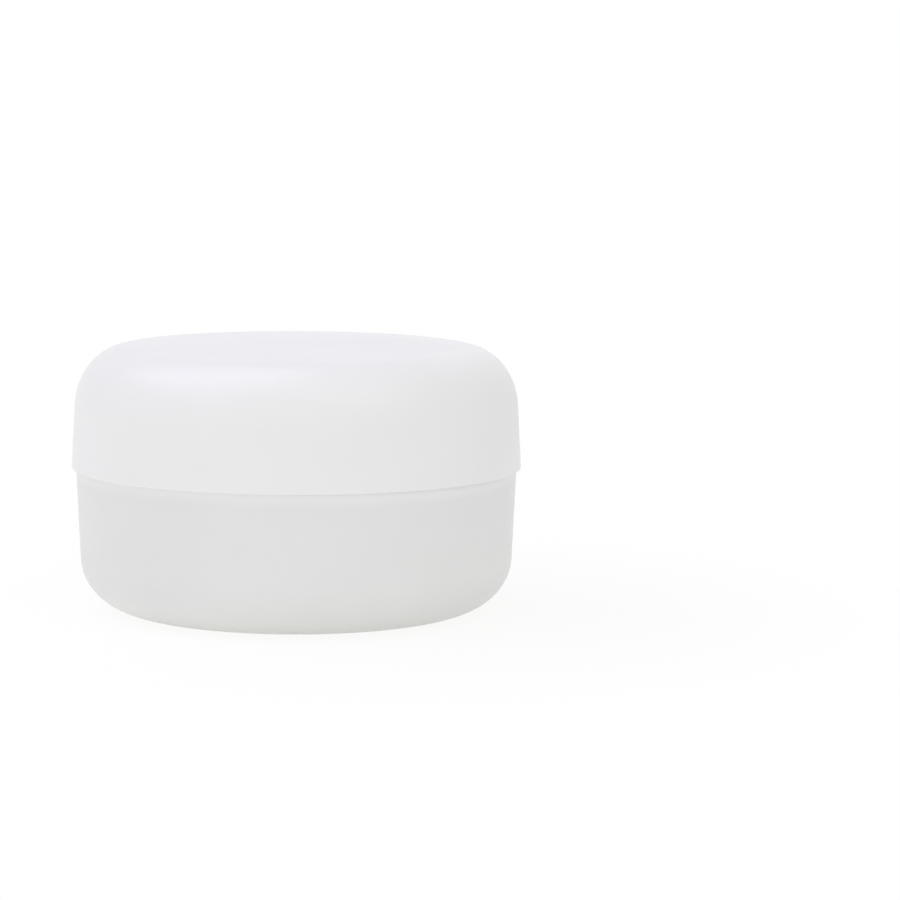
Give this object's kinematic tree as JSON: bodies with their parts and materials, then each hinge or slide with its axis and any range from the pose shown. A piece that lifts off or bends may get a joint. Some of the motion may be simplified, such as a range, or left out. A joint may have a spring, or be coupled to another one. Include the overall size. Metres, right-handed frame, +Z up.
{
  "type": "nail polish remover pad jar",
  "caption": "Round double-wall plastic jar with a domed screw lid, foam liner, lift-out sealing disc and a stack of soaked nonwoven pads for taking off nail polish.",
  "frame": {"origin": "middle of the foot, on the plane that the jar stands on", "axes": "+Z up along the jar's axis; +X along the pull tab of the sealing disc; -Y faces the picture's camera"},
  "size_m": [0.068, 0.068, 0.0407],
  "materials": {
    "body_plastic": "satin white polypropylene",
    "cup_plastic": "smooth white polypropylene",
    "disc_plastic": "natural polyethylene, slightly milky",
    "liner_foam": "closed-cell polyethylene foam",
    "pad_fleece": "wet embossed nonwoven"
  },
  "bodies": {
    "jar": {"outer_shell": "body_plastic", "inner_cup": "cup_plastic", "pad_01": "pad_fleece", "pad_02": "pad_fleece", "pad_03": "pad_fleece", "pad_04": "pad_fleece", "pad_05": "pad_fleece", "pad_06": "pad_fleece", "pad_07": "pad_fleece", "pad_08": "pad_fleece", "pad_09": "pad_fleece", "pad_10": "pad_fleece", "pad_11": "pad_fleece", "pad_12": "pad_fleece", "pad_13": "pad_fleece", "pad_14": "pad_fleece", "pad_15": "pad_fleece", "pad_16": "pad_fleece", "pad_17": "pad_fleece", "pad_18": "pad_fleece", "pad_19": "pad_fleece", "pad_20": "pad_fleece", "pad_21": "pad_fleece", "pad_22": "pad_fleece", "pad_23": "pad_fleece", "pad_24": "pad_fleece", "pad_25": "pad_fleece", "pad_26": "pad_fleece", "pad_27": "pad_fleece", "pad_28": "pad_fleece", "pad_29": "pad_fleece", "pad_30": "pad_fleece", "pad_31": "pad_fleece", "pad_32": "pad_fleece", "pad_33": "pad_fleece", "pad_34": "pad_fleece", "pad_35": "pad_fleece", "pad_36": "pad_fleece", "pad_37": "pad_fleece", "pad_38": "pad_fleece", "pad_39": "pad_fleece", "pad_40": "pad_fleece", "pad_41": "pad_fleece", "pad_42": "pad_fleece", "pad_43": "pad_fleece", "pad_44": "pad_fleece"},
    "liner": {"lid_liner": "liner_foam"},
    "lid": {"lid_shell": "body_plastic"},
    "disc": {"sealing_disc": "disc_plastic"},
    "top_pad": {"pad_45": "pad_fleece"}
  },
  "joints": [
    {"name": "lid_lift", "type": "slide", "parent": "jar", "child": "liner", "axis": [0, 0, 1], "range_m": [0, 0.048]},
    {"name": "lid_turn", "type": "hinge", "parent": "liner", "child": "lid", "pos_m": [0, 0, 0.03], "axis": [0, 0, 1], "range_deg": [0, 1440]},
    {"name": "disc_lift", "type": "slide", "parent": "jar", "child": "disc", "axis": [0, 0, 1], "range_m": [0, 0.026]},
    {"name": "pad_lift", "type": "slide", "parent": "jar", "child": "top_pad", "axis": [0, 0, 1], "range_m": [0, 0.014]}
  ],
  "couplings": [
    {"joint": "lid_lift", "follows": "lid_turn", "m_per_rad": 0.0019098},
    {"joint": "disc_lift", "follows": "lid_turn", "m_per_rad": 0.0010345},
    {"joint": "pad_lift", "follows": "lid_turn", "m_per_rad": 0.000557}
  ]
}
